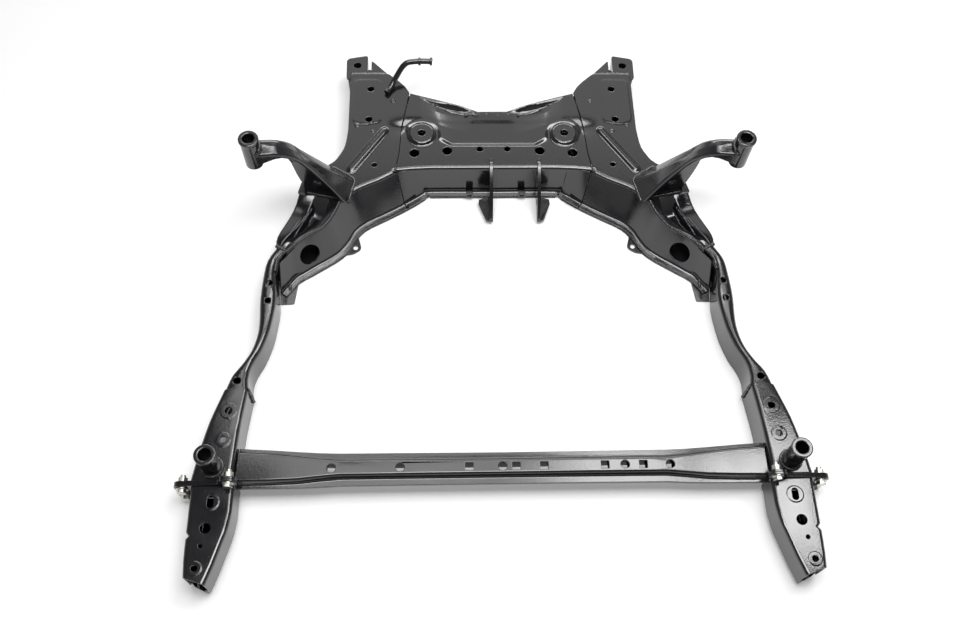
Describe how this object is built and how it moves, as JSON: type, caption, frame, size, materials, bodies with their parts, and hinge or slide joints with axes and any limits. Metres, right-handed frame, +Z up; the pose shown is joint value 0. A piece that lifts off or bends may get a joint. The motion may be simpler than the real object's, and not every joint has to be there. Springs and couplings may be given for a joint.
{
  "type": "subframe",
  "caption": "Welded sheet steel front suspension subframe with raised body mounts, curved side legs, bolted crush cans and a slim front beam.",
  "frame": {"origin": "middle of the bounding box, on the floor plane under the lower panel and the crush can floors", "axes": "+Z up in the car, +Y towards the rear of the car, +X towards the side at the right of a viewer who stands at the front and looks rearward"},
  "size_m": [0.95, 0.9357, 0.225],
  "materials": {
    "coated_steel": "black dip coat, semi gloss",
    "plated": "zinc plated"
  },
  "bodies": {
    "root": {"lower_panel": "coated_steel", "centre_panel": "coated_steel", "side_panel_left": "coated_steel", "side_panel_right": "coated_steel", "rear_wall": "coated_steel", "front_wall": "coated_steel", "side_wall_left": "coated_steel", "side_wall_right": "coated_steel", "outer_wall_left": "coated_steel", "outer_wall_right": "coated_steel", "rear_tab_left": "coated_steel", "rear_tab_right": "coated_steel", "horn_left": "coated_steel", "horn_right": "coated_steel", "horn_web_left": "coated_steel", "horn_web_right": "coated_steel", "horn_sleeve_left": "coated_steel", "horn_sleeve_right": "coated_steel", "horn_nuts": "plated", "arm_bracket_left": "coated_steel", "arm_bracket_right": "coated_steel", "leg_left": "coated_steel", "leg_right": "coated_steel", "leg_floor_left": "coated_steel", "leg_floor_right": "coated_steel", "platform_left": "coated_steel", "platform_right": "coated_steel", "platform_floor_left": "coated_steel", "platform_floor_right": "coated_steel", "front_sleeve_left": "coated_steel", "front_sleeve_right": "coated_steel", "rear_plate_left": "coated_steel", "rear_plate_right": "coated_steel", "front_plate_left": "coated_steel", "front_plate_right": "coated_steel", "joint_bolts": "plated", "joint_nuts": "plated", "can_left": "coated_steel", "can_right": "coated_steel", "can_floor_left": "coated_steel", "can_floor_right": "coated_steel", "beam": "coated_steel", "beam_floor": "coated_steel", "rod_ear_left": "coated_steel", "rod_ear_right": "coated_steel", "steering_spacers": "coated_steel", "hanger": "coated_steel", "flange_clips": "coated_steel", "flange_lugs": "coated_steel"}
  },
  "joints": []
}
